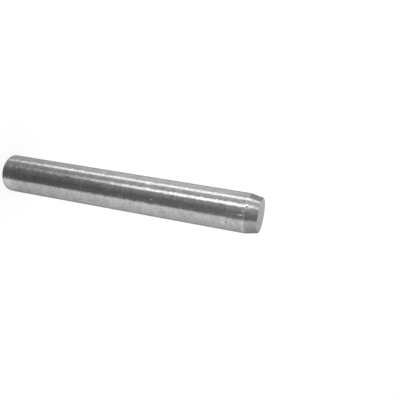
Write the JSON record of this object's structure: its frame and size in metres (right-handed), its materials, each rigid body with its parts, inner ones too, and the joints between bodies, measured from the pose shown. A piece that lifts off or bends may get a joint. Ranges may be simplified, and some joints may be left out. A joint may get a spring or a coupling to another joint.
{
  "type": "pivot pin",
  "caption": "Plain round steel pivot pin, square-cut at one end and tapered to a lead-in at the other.",
  "frame": {"origin": "centre of the plain end face, on which the pin stands", "axes": "+Z along the pin from the plain end to the tapered tip; the pin is round, so +X is any direction across it"},
  "size_m": [0.0254, 0.0254, 0.1796],
  "materials": {
    "steel": "bare turned bar with fine turning marks and small pits"
  },
  "bodies": {
    "root": {"pivot_pin": "steel"}
  },
  "joints": []
}
